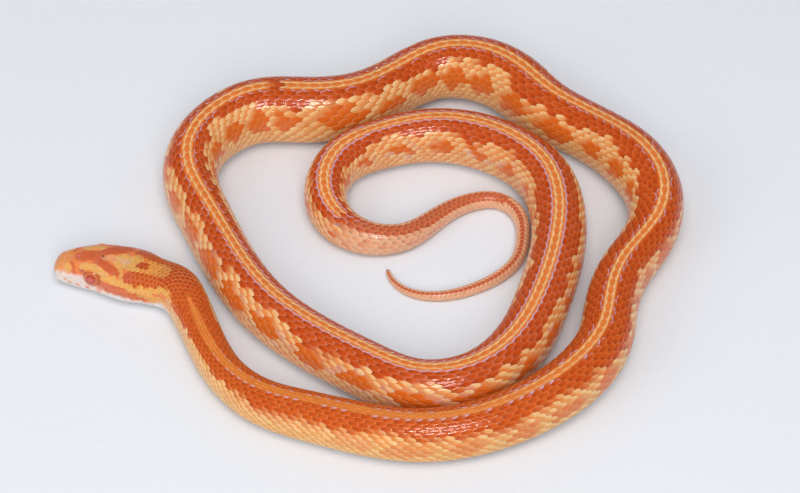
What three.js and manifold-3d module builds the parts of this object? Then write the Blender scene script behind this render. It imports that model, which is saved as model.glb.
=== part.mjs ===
// Corn snake at rest, life size: one long body lying in loose bends on flat ground.
// Units are millimetres and +Z is up. The snout points toward -X, the ground is z = 0,
// and the origin is the middle of the footprint at ground level.

import * as THREE from 'three';
import { mergeVertices } from 'three/addons/utils/BufferGeometryUtils.js';
import Module from 'manifold-3d';

// Gap left between neighbouring solids
const jointGap = 0.3;

// Body stations, measured along the centreline back from the snout tip
const headLength = 20.4;
const neckEnd = 60;
const ventStation = 520;
const trunkLengths = 8;
const tailLengths = 3;

// Cross-section of the body: a loaf with a flat belly and a rounded back
const sectionPoints = 18;
const sideRoundness = 2.4;
const backRoundness = 2.1;
const bellyRoundness = 2.8;
const heightPerWidth = 0.95;
const napeHeightPerWidth = 0.77;
const napeEnd = 28;
const widestLevel = 0.47;
const bellyArc = THREE.MathUtils.degToRad(121);

// Spacing of the cross-sections: closer where the body bends sharply
const longestStep = 5;
const shortestStep = 1.4;
const turnPerStep = 0.22;

// Cross-section of the head: flatter crown and steeper cheeks than the body
const headSectionPoints = 24;
const cheekRoundness = 2.5;
const crownRoundness = 2.7;
const throatRoundness = 2.6;
const headStep = 1;

// Head outline: [distance back from the snout tip, value]
const headHalfWidth = [
  [0, 1.5],
  [1, 2.5],
  [2.5, 3.15],
  [4.5, 3.8],
  [8.6, 4.75],
  [12, 5.5],
  [15.5, 6.0],
  [18, 5.75],
  [20.4, 5.05],
  [24, 4.55],
];
const headTop = [
  [0, 3.9],
  [1, 5.1],
  [2.5, 6.0],
  [5, 6.7],
  [8.6, 7.25],
  [12, 7.3],
  [16, 7.4],
  [20.4, 7.6],
  [24, 7.9],
];
const headUnderside = [
  [0, 2.2],
  [0.8, 1.2],
  [2.2, 0.6],
  [4, 0.2],
  [6, 0],
  [12, 0],
  [18, 0],
  [24, 0],
];

// Mouth line: height of the slit above the ground along the head
const mouthLine = [
  [-2, 1.9],
  [0, 1.9],
  [4, 1.75],
  [9, 1.7],
  [13, 1.75],
  [17.8, 1.5],
  [20, 1.4],
];
const jawAngleStation = 17.8;

// Eyes: small spheres set deep in the side of the head
const eyeRadius = 2.1;
const eyeStation = 9;
const eyeOffset = 3.05;
const eyeHeight = 4.3;
const eyeSegments = 20;

// Half-width of the body: [station, half-width]
const girth = [
  [20.4, 5.05],
  [25, 4.6],
  [32, 4.05],
  [42, 3.8],
  [52, 3.85],
  [62, 4.25],
  [75, 4.65],
  [106, 4.95],
  [122, 5.25],
  [156, 5.15],
  [168, 5.15],
  [190, 6.2],
  [204, 5.85],
  [226, 6.6],
  [240, 6.5],
  [252, 5.95],
  [264, 6.35],
  [282, 6.65],
  [296, 6.1],
  [312, 5.6],
  [342, 5.3],
  [390, 5.35],
  [445, 5.55],
  [488, 5.45],
  [505, 4.9],
  [528, 3.95],
  [546, 2.55],
  [575, 1.55],
  [590, 1.3],
  [610, 0.9],
  [621, 0.45],
];

// Moves the pose so that its footprint is centred on the origin
const poseShift = [5.59, 1.87];

// Centreline of the pose on the ground, from the snout tip to the tail tip
const spinePoints = [
  // head
  [-68.1, -9],
  [-60, -9.8],
  [-54, -11.4],
  [-49, -13.4],
  // neck
  [-43.8, -16.1],
  [-40.4, -21.5],
  [-32.3, -39.6],
  // fore body, along the near side and up the right
  [-25.5, -46.4],
  [-16, -50.6],
  [4, -55.3],
  [24, -48.7],
  [39, -30.7],
  [41, -20.6],
  [44.4, -11],
  [49.4, -1.6],
  [51.3, 7.2],
  // middle of the body, across the far side
  [49.6, 15.4],
  [37.5, 30.4],
  [30.5, 36.2],
  [24.5, 43.4],
  [17, 48.7],
  [8.5, 49.6],
  [-8.4, 38.2],
  [-19, 35.4],
  [-30, 35],
  [-37.4, 30.2],
  // down the left and round the inner coil
  [-41.8, 22.6],
  [-42.4, 14.4],
  [-39, 3.6],
  [-25.4, -23],
  [-6, -39.2],
  [3.4, -43.8],
  [13.3, -42.2],
  [21.7, -34.2],
  [27.2, -21.5],
  [31.5, 5.5],
  [28.6, 16],
  [6, 28.5],
  [-3, 26.5],
  [-11, 21.9],
  // vent and tail, curled inside the coil
  [-15, 12.8],
  [-12.8, 3.8],
  [-6.9, -0.5],
  [0.2, 0],
  [7.1, 6],
  [13.6, 11.1],
  [20.2, 11.9],
  [24, 7.6],
  [24.6, 1.4],
  [23.2, -5],
  [13.6, -13.6],
  [7.4, -15.2],
  [1.8, -13.9],
  [-1.8, -9.7],
  [-2.6, -6.4],
];

// Natural cubic spline through the given values, returned as a function
function naturalSpline(knots, values) {
  const last = knots.length - 1;
  const bends = new Array(last + 1).fill(0);
  const pivots = new Array(last + 1).fill(1);
  for (let i = 1; i < last; i += 1) {
    const before = knots[i] - knots[i - 1];
    const after = knots[i + 1] - knots[i];
    const jump = (values[i + 1] - values[i]) / after - (values[i] - values[i - 1]) / before;
    const share = i > 1 ? before / pivots[i - 1] : 0;
    pivots[i] = 2 * (before + after) - share * before;
    bends[i] = 6 * jump - share * bends[i - 1];
  }
  bends[last] = 0;
  for (let i = last - 1; i > 0; i -= 1) {
    bends[i] = (bends[i] - (knots[i + 1] - knots[i]) * bends[i + 1]) / pivots[i];
  }
  return (at) => {
    let i = 0;
    while (i < last - 1 && at > knots[i + 1]) {
      i += 1;
    }
    const span = knots[i + 1] - knots[i];
    const done = at - knots[i];
    const left = knots[i + 1] - at;
    const curved = (bends[i] * left ** 3 + bends[i + 1] * done ** 3) / (6 * span);
    const fromStart = (values[i] / span - (bends[i] * span) / 6) * left;
    const fromEnd = (values[i + 1] / span - (bends[i + 1] * span) / 6) * done;
    return curved + fromStart + fromEnd;
  };
}

// Spline through a table of [station, value] rows
function profile(rows) {
  return naturalSpline(
    rows.map((row) => row[0]),
    rows.map((row) => row[1]),
  );
}

// Centreline measured by its own length: position and heading at any station
function makeSpine(points, shift) {
  const chords = [0];
  for (let i = 1; i < points.length; i += 1) {
    const dx = points[i][0] - points[i - 1][0];
    const dy = points[i][1] - points[i - 1][1];
    chords.push(chords[i - 1] + Math.hypot(dx, dy));
  }
  const alongX = naturalSpline(chords, points.map((point) => point[0] + shift[0]));
  const alongY = naturalSpline(chords, points.map((point) => point[1] + shift[1]));
  const sampleCount = 6000;
  const whole = chords[chords.length - 1];
  const stations = [0];
  for (let i = 1; i <= sampleCount; i += 1) {
    const here = (whole * i) / sampleCount;
    const before = (whole * (i - 1)) / sampleCount;
    const step = Math.hypot(alongX(here) - alongX(before), alongY(here) - alongY(before));
    stations.push(stations[i - 1] + step);
  }
  const chordAt = (station) => {
    let low = 0;
    let high = sampleCount;
    while (high - low > 1) {
      const middle = Math.floor((low + high) / 2);
      if (stations[middle] > station) {
        high = middle;
      } else {
        low = middle;
      }
    }
    const part = (station - stations[low]) / (stations[high] - stations[low]);
    return (whole * (low + part)) / sampleCount;
  };
  const probe = 0.05;
  return {
    length: stations[sampleCount],
    at(station) {
      const chord = chordAt(station);
      const dx = alongX(chord + probe) - alongX(chord - probe);
      const dy = alongY(chord + probe) - alongY(chord - probe);
      return { x: alongX(chord), y: alongY(chord), heading: Math.atan2(dy, dx) };
    },
  };
}

const spine = makeSpine(spinePoints, poseShift);

// Point beside the centreline: positive offsets are on the animal's left as it faces the snout
function placed(station, offset, height) {
  const here = spine.at(station);
  return [
    here.x - offset * Math.sin(here.heading + Math.PI),
    here.y + offset * Math.cos(here.heading + Math.PI),
    height,
  ];
}

// Power that keeps the sign, for rounded-square curves
function signedPower(base, power) {
  return Math.sign(base) * Math.abs(base) ** power;
}

// One closed cross-section as [offset, height] pairs, flat where it meets the ground
function crossSection(shape) {
  const ring = [];
  const middle = shape.underside + widestLevel * (shape.top - shape.underside);
  const firstAngle = -Math.PI / 2 + Math.PI / shape.points;
  for (let i = 0; i < shape.points; i += 1) {
    const angle = firstAngle + (2 * Math.PI * i) / shape.points;
    const across = shape.halfWidth * signedPower(Math.cos(angle), 2 / shape.side);
    const fromBottom = Math.abs(Math.atan2(Math.cos(angle), -Math.sin(angle)));
    let height;
    if (Math.sin(angle) > 0) {
      height = middle + (shape.top - middle) * Math.sin(angle) ** (2 / shape.upper);
    } else if (fromBottom < bellyArc / 4) {
      height = shape.underside;
    } else {
      height = middle - (middle - shape.underside) * (-Math.sin(angle)) ** (2 / shape.lower);
    }
    ring.push([across, height]);
  }
  return ring;
}

const bodyHalfWidth = profile(girth);

// Body cross-section at a station
function bodySection(station) {
  const halfWidth = bodyHalfWidth(station);
  const pastNape = THREE.MathUtils.smoothstep(station, headLength, napeEnd);
  const tallness = THREE.MathUtils.lerp(napeHeightPerWidth, heightPerWidth, pastNape);
  return crossSection({
    points: sectionPoints,
    halfWidth,
    top: 2 * halfWidth * tallness,
    underside: 0,
    side: sideRoundness,
    upper: backRoundness,
    lower: bellyRoundness,
  });
}

const headWidthAt = profile(headHalfWidth);
const headTopAt = profile(headTop);
const headUndersideAt = profile(headUnderside);

// Head cross-section at a station
function headSection(station) {
  return crossSection({
    points: headSectionPoints,
    halfWidth: headWidthAt(station),
    top: headTopAt(station),
    underside: Math.max(0, headUndersideAt(station)),
    side: cheekRoundness,
    upper: crownRoundness,
    lower: throatRoundness,
  });
}

// Closed solid swept through the cross-sections at the given stations
function sweep(stations, sectionAt) {
  const vertices = [];
  const triangles = [];
  const rings = stations.map((station) => sectionAt(station));
  const sides = rings[0].length;
  rings.forEach((ring, row) => {
    ring.forEach(([offset, height]) => {
      vertices.push(...placed(stations[row], offset, height));
    });
  });
  for (let row = 0; row + 1 < rings.length; row += 1) {
    for (let i = 0; i < sides; i += 1) {
      const next = (i + 1) % sides;
      const a = row * sides + i;
      const b = row * sides + next;
      const c = (row + 1) * sides + i;
      const d = (row + 1) * sides + next;
      triangles.push(a, c, b, b, c, d);
    }
  }
  const addCap = (row, facesBack) => {
    const ring = rings[row];
    const centreHeight = ring.reduce((sum, point) => sum + point[1], 0) / sides;
    const centre = vertices.length / 3;
    vertices.push(...placed(stations[row], 0, centreHeight));
    for (let i = 0; i < sides; i += 1) {
      const a = row * sides + i;
      const b = row * sides + ((i + 1) % sides);
      triangles.push(centre, ...(facesBack ? [b, a] : [a, b]));
    }
  };
  addCap(0, false);
  addCap(rings.length - 1, true);
  return { vertices, triangles };
}

// Stations between two ends, closer together where the centreline bends
function bodyStations(from, to) {
  const stations = [from];
  let station = from;
  const probe = 1;
  while (station < to) {
    const turn = spine.at(Math.min(station + probe, to)).heading - spine.at(station).heading;
    const wrapped = Math.abs(Math.atan2(Math.sin(turn), Math.cos(turn))) / probe;
    const step = THREE.MathUtils.clamp(turnPerStep / wrapped, shortestStep, longestStep);
    station += step;
    if (station > to - shortestStep / 2) {
      station = to;
    }
    stations.push(station);
  }
  return stations;
}

const wasm = await Module();
wasm.setup();

// Swept mesh as an exact solid
function solid({ vertices, triangles }) {
  return new wasm.Manifold(
    new wasm.Mesh({
      numProp: 3,
      vertProperties: new Float32Array(vertices),
      triVerts: new Uint32Array(triangles),
    }),
  );
}

// Block under the mouth line, from ahead of the snout to the jaw angle
function blockUnderMouth(clearance) {
  const reach = 12;
  const deepest = -3;
  const mouthAt = profile(mouthLine);
  const end = jawAngleStation + 2 * clearance;
  const stations = [];
  const steps = 12;
  for (let i = 0; i <= steps; i += 1) {
    stations.push(0.02 + ((end - 0.02) * i) / steps);
  }
  const section = (station) => {
    const top = mouthAt(station) + clearance;
    return [
      [-reach, deepest],
      [reach, deepest],
      [reach, top],
      [-reach, top],
    ];
  };
  return solid(sweep(stations, section));
}

const headStations = [];
for (let station = 0; station < headLength - headStep / 2; station += headStep) {
  headStations.push(station);
}
headStations.push(headLength);

const wholeHead = solid(sweep(headStations, headSection));

// Eyeball at its place on one side of the head
function eyeBall(side, radius) {
  const ball = new THREE.SphereGeometry(radius, eyeSegments, eyeSegments / 2);
  ball.deleteAttribute('normal');
  ball.deleteAttribute('uv');
  ball.translate(...placed(eyeStation, side * eyeOffset, eyeHeight));
  const merged = mergeVertices(ball);
  return solid({ vertices: merged.attributes.position.array, triangles: merged.index.array });
}

const leftSocket = eyeBall(1, eyeRadius + jointGap);
const rightSocket = eyeBall(-1, eyeRadius + jointGap);
const upperHead = wholeHead
  .subtract(blockUnderMouth(jointGap / 2))
  .subtract(leftSocket)
  .subtract(rightSocket);
const lowerJaw = wholeHead.intersect(blockUnderMouth(-jointGap / 2));

const group = new THREE.Group();

// Adds one named solid with its own finish
function addSolid(name, manifold, color, roughness) {
  const mesh = manifold.getMesh();
  const geometry = new THREE.BufferGeometry();
  geometry.setAttribute('position', new THREE.BufferAttribute(mesh.vertProperties, 3));
  geometry.setIndex(new THREE.BufferAttribute(mesh.triVerts, 1));
  geometry.computeVertexNormals();
  const material = new THREE.MeshStandardMaterial({ color, roughness, metalness: 0 });
  const part = new THREE.Mesh(geometry, material);
  part.name = name;
  group.add(part);
}

// Finishes: satin scales and glossy eyes
const headColor = 0xd9772f;
const jawColor = 0xf0dccb;
const bodyColor = 0xc9531b;
const tailColor = 0xdd7a45;
const eyeColor = 0xb5453a;
const scaleRoughness = 0.45;
const eyeRoughness = 0.08;

addSolid('head', upperHead, headColor, scaleRoughness);
addSolid('lower_jaw', lowerJaw, jawColor, scaleRoughness);
addSolid('eye_left', eyeBall(1, eyeRadius), eyeColor, eyeRoughness);
addSolid('eye_right', eyeBall(-1, eyeRadius), eyeColor, eyeRoughness);

// Adds a run of body lengths of equal size, each named and set apart by the gap
function addLengths(prefix, from, to, count, color) {
  const each = (to - from) / count;
  for (let i = 0; i < count; i += 1) {
    const start = from + i * each + jointGap / 2;
    const isTip = prefix === 'tail' && i === count - 1;
    const end = from + (i + 1) * each - (isTip ? 0 : jointGap / 2);
    const name = count > 1 ? `${prefix}_${i + 1}` : prefix;
    addSolid(name, solid(sweep(bodyStations(start, end), bodySection)), color, scaleRoughness);
  }
}

addLengths('neck', headLength + jointGap / 2, neckEnd, 1, bodyColor);
addLengths('trunk', neckEnd, ventStation, trunkLengths, bodyColor);
addLengths('tail', ventStation, spine.length - 0.1, tailLengths, tailColor);

export default group;
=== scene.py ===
"""Looks of a still, life-size corn snake resting in loose bends on a pale floor.

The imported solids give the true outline. Here one fine skin replaces every node of flesh, single
overlapping scales lie over it, broad plates line the belly, and glossy eyes sit in their orbits.
Lengths are written in millimetres, as multiples of MM, and the frame is in metres.
"""

import logging
import math
from dataclasses import dataclass, field
from enum import Enum

import bpy
import numpy as np
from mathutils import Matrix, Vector

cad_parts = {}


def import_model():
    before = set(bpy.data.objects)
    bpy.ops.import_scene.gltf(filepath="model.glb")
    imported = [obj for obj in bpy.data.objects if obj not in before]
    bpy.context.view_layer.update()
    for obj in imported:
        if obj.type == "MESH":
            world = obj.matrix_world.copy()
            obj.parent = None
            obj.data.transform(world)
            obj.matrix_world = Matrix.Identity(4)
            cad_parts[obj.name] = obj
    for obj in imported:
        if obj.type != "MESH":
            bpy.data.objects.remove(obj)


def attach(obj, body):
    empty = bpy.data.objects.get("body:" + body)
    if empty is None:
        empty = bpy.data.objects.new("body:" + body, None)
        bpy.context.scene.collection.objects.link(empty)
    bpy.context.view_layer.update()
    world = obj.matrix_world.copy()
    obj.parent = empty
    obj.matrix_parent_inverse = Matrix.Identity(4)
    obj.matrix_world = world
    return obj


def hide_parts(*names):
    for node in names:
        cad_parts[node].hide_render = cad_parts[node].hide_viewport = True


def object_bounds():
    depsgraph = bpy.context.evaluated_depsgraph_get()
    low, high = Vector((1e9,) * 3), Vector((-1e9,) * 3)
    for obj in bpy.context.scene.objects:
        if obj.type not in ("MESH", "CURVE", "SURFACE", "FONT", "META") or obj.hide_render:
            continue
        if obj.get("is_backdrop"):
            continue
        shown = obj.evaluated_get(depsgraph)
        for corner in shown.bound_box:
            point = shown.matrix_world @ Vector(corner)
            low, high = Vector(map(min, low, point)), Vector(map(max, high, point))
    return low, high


MM = 0.001
BODY = "root"
SEED = 11

# Multipliers of the usual sine hash: seed, first key, step for each later key, spread
HASH = (12.9898, 78.233, 37.719, 43758.5453)

log = logging.getLogger("corn_snake")

# Centreline of the pose, from the snout tip to the tail tip, and its shift to the frame's origin
POSE_SHIFT = (5.59, 1.87)
SPINE_POINTS = (
    # head
    (-68.1, -9), (-60, -9.8), (-54, -11.4), (-49, -13.4),
    # neck
    (-43.8, -16.1), (-40.4, -21.5), (-32.3, -39.6),
    # fore body, along the near side and up the right
    (-25.5, -46.4), (-16, -50.6), (4, -55.3), (24, -48.7), (39, -30.7), (41, -20.6), (44.4, -11),
    (49.4, -1.6), (51.3, 7.2),
    # middle of the body, across the far side
    (49.6, 15.4), (37.5, 30.4), (30.5, 36.2), (24.5, 43.4), (17, 48.7), (8.5, 49.6), (-8.4, 38.2),
    (-19, 35.4), (-30, 35), (-37.4, 30.2),
    # down the left and round the inner coil
    (-41.8, 22.6), (-42.4, 14.4), (-39, 3.6), (-25.4, -23), (-6, -39.2), (3.4, -43.8),
    (13.3, -42.2), (21.7, -34.2), (27.2, -21.5), (31.5, 5.5), (28.6, 16), (6, 28.5), (-3, 26.5),
    (-11, 21.9),
    # vent and tail, curled inside the coil
    (-15, 12.8), (-12.8, 3.8), (-6.9, -0.5), (0.2, 0), (7.1, 6), (13.6, 11.1), (20.2, 11.9),
    (24, 7.6), (24.6, 1.4), (23.2, -5), (13.6, -13.6), (7.4, -15.2), (1.8, -13.9), (-1.8, -9.7),
    (-2.6, -6.4),
)

# Half-width of the body along it: (station, half-width)
GIRTH = (
    (20.4, 5.05), (25, 4.6), (32, 4.05), (42, 3.8), (52, 3.85), (62, 4.25), (75, 4.65),
    (106, 4.95), (122, 5.25), (156, 5.15), (168, 5.15), (190, 6.2), (204, 5.85), (226, 6.6),
    (240, 6.5), (252, 5.95), (264, 6.35), (282, 6.65), (296, 6.1), (312, 5.6), (342, 5.3),
    (390, 5.35), (445, 5.55), (488, 5.45), (505, 4.9), (528, 3.95), (546, 2.55), (575, 1.55),
    (590, 1.3), (610, 0.9), (621, 0.45),
)
HEAD_HALF_WIDTH = (
    (0, 1.5), (1, 2.5), (2.5, 3.15), (4.5, 3.8), (8.6, 4.75), (12, 5.5), (15.5, 6.0), (18, 5.75),
    (20.4, 5.05), (24, 4.55),
)
HEAD_TOP = (
    (0, 3.9), (1, 5.1), (2.5, 6.0), (5, 6.7), (8.6, 7.25), (12, 7.3), (16, 7.4), (20.4, 7.6),
    (24, 7.9),
)
HEAD_UNDERSIDE = (
    (0, 2.2), (0.8, 1.2), (2.2, 0.6), (4, 0.2), (6, 0), (12, 0), (18, 0), (24, 0),
)
MOUTH_LINE = ((-2, 1.9), (0, 1.9), (4, 1.75), (9, 1.7), (13, 1.75), (17.8, 1.5), (20, 1.4))


class Side(Enum):
    """The animal's own left and right, as the sign of an offset from its centreline."""

    LEFT = 1
    RIGHT = -1


def linear(hex_value: str) -> tuple[float, float, float, float]:
    """Turn an sRGB hex colour into linear light.

    Args:
        hex_value: Six hex digits, such as "C4460E".

    Returns:
        Linear red, green and blue with an alpha of one.
    """
    channels = [int(hex_value[i : i + 2], 16) / 255 for i in (0, 2, 4)]
    light = [c / 12.92 if c <= 0.04045 else ((c + 0.055) / 1.055) ** 2.4 for c in channels]
    return (light[0], light[1], light[2], 1.0)


def smooth(low: float, high: float, value: np.ndarray) -> np.ndarray:
    """Rise smoothly from 0 at low to 1 at high.

    Args:
        low: Value where the rise starts.
        high: Value where it ends; it may be below low for a fall.
        value: Numbers to rate.

    Returns:
        The ratings, from 0 to 1.
    """
    part = np.clip((np.asarray(value, float) - low) / (high - low), 0, 1)
    return part * part * (3 - 2 * part)


def mix(first: np.ndarray, second: np.ndarray, share: np.ndarray) -> np.ndarray:
    """Blend from the first numbers to the second by a share from 0 to 1."""
    return (1 - share) * first + share * second


def read_table(at: np.ndarray, rows: tuple) -> np.ndarray:
    """Value of a table of (place, value) rows at each place, in straight steps between rows."""
    return np.interp(at, [row[0] for row in rows], [row[1] for row in rows])


def signed_turn(turn: np.ndarray) -> np.ndarray:
    """Turn away from the ridge of the back, from -1 to 1, positive on the animal's left."""
    turn = np.mod(turn, 2.0)
    return np.where(turn > 1, turn - 2, turn)


def hashed(*keys: np.ndarray) -> np.ndarray:
    """Give each set of keys its own steady number from 0 to 1.

    Args:
        keys: Arrays of numbers that name a scale.

    Returns:
        One pseudo-random number for each element.
    """
    seed_step, first, later, spread = HASH
    mixed = SEED * seed_step
    for place, key in enumerate(keys):
        mixed = mixed + np.asarray(key, float) * (first + later * place)
    wave = np.sin(mixed) * spread
    return wave - np.floor(wave)


def distance_to_line(x: np.ndarray, y: np.ndarray, points: tuple) -> np.ndarray:
    """Shortest distance from each place to an open chain of straight stretches.

    Args:
        x: First coordinates.
        y: Second coordinates.
        points: The chain's corners.

    Returns:
        One distance for each place.
    """
    best = np.full(np.shape(x), 1e9)
    for (ax, ay), (bx, by) in zip(points[:-1], points[1:]):
        span = (bx - ax) ** 2 + (by - ay) ** 2
        along = np.clip(((x - ax) * (bx - ax) + (y - ay) * (by - ay)) / span, 0, 1)
        best = np.minimum(best, np.hypot(x - ax - along * (bx - ax), y - ay - along * (by - ay)))
    return best


def ring_faces(first: int, rings: int, count: int) -> np.ndarray:
    """Four-cornered faces between neighbouring rings of corners.

    Args:
        first: Number of the first ring's first corner.
        rings: Number of rings.
        count: Number of corners in each ring.

    Returns:
        The corner numbers of every face.
    """
    i, j = np.meshgrid(np.arange(rings - 1), np.arange(count), indexing="ij")
    corner = first + i * count + j
    beside = first + i * count + (j + 1) % count
    return np.stack([corner, corner + count, beside + count, beside], -1).reshape(-1, 4)


def end_faces(centre: int, ring: int, count: int, far_end: bool) -> list:
    """Triangles that close a ring of corners onto one corner in its middle.

    Args:
        centre: Number of the middle corner.
        ring: Number of the ring's first corner.
        count: Number of corners in the ring.
        far_end: Whether the ring is the last one, where the triangles wind the other way.

    Returns:
        The corner numbers of every triangle.
    """
    pairs = [(ring + j, ring + (j + 1) % count) for j in range(count)]
    return [[centre, b, a] if far_end else [centre, a, b] for a, b in pairs]


@dataclass
class NaturalSpline:
    """Natural cubic spline through a table of (place, value) rows."""

    rows: tuple
    knots: np.ndarray = field(init=False)
    values: np.ndarray = field(init=False)
    bends: np.ndarray = field(init=False)

    def __post_init__(self) -> None:
        """Solve for the second derivative at each knot."""
        self.knots = np.array([row[0] for row in self.rows], float)
        self.values = np.array([row[1] for row in self.rows], float)
        count = len(self.knots)
        span = np.diff(self.knots)
        matrix = np.eye(count)
        target = np.zeros(count)
        for i in range(1, count - 1):
            matrix[i, i - 1 : i + 2] = (span[i - 1], 2 * (span[i - 1] + span[i]), span[i])
            slopes = np.diff(self.values[i - 1 : i + 2]) / span[i - 1 : i + 1]
            target[i] = 6 * (slopes[1] - slopes[0])
        self.bends = np.linalg.solve(matrix, target)

    def __call__(self, at: np.ndarray) -> np.ndarray:
        """Value at each place."""
        at = np.asarray(at, float)
        i = np.clip(np.searchsorted(self.knots, at) - 1, 0, len(self.knots) - 2)
        span = self.knots[i + 1] - self.knots[i]
        done = at - self.knots[i]
        left = self.knots[i + 1] - at
        curved = (self.bends[i] * left**3 + self.bends[i + 1] * done**3) / (6 * span)
        start = (self.values[i] / span - self.bends[i] * span / 6) * left
        end = (self.values[i + 1] / span - self.bends[i + 1] * span / 6) * done
        return curved + start + end


@dataclass
class Spine:
    """Centreline of the pose, measured by its own length in millimetres."""

    points: tuple = SPINE_POINTS
    shift: tuple = POSE_SHIFT
    step: float = 0.1
    length: float = field(init=False)
    stations: np.ndarray = field(init=False)
    places: np.ndarray = field(init=False)
    tangents: np.ndarray = field(init=False)
    bend: np.ndarray = field(init=False)

    def __post_init__(self) -> None:
        """Sample the curve at even steps of its own length."""
        way = np.array(self.points, float) + np.array(self.shift)
        chords = np.concatenate([[0], np.cumsum(np.linalg.norm(np.diff(way, axis=0), axis=1))])
        x = NaturalSpline(tuple(zip(chords, way[:, 0])))
        y = NaturalSpline(tuple(zip(chords, way[:, 1])))
        fine = np.linspace(0, chords[-1], 6001)
        path = np.stack([x(fine), y(fine)], 1)
        run = np.concatenate([[0], np.cumsum(np.linalg.norm(np.diff(path, axis=0), axis=1))])
        self.length = float(run[-1])
        self.stations = np.arange(0, self.length, self.step)
        self.places = np.stack([np.interp(self.stations, run, path[:, i]) for i in (0, 1)], 1)
        slope = np.gradient(self.places, self.step, axis=0)
        self.tangents = slope / np.linalg.norm(slope, axis=1)[:, None]
        heading = np.unwrap(np.arctan2(self.tangents[:, 1], self.tangents[:, 0]))
        smoothing = np.ones(15) / 15
        self.bend = np.convolve(np.gradient(heading, self.step), smoothing, mode="same")

    def at(self, station: np.ndarray) -> tuple[np.ndarray, np.ndarray]:
        """Place on the ground and direction to the animal's left at each station.

        Args:
            station: Distances back from the snout tip.

        Returns:
            Places and unit left directions, each as an array of x and y.
        """
        place = np.stack([np.interp(station, self.stations, self.places[:, i]) for i in (0, 1)], -1)
        along = np.stack(
            [np.interp(station, self.stations, self.tangents[:, i]) for i in (0, 1)], -1
        )
        left = np.stack([along[..., 1], -along[..., 0]], -1)
        return place, left / np.linalg.norm(left, axis=-1, keepdims=True)

    def curvature(self, station: np.ndarray) -> np.ndarray:
        """Bend of the centreline, positive where it turns away from the animal's left."""
        return np.interp(station, self.stations, self.bend)


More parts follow.
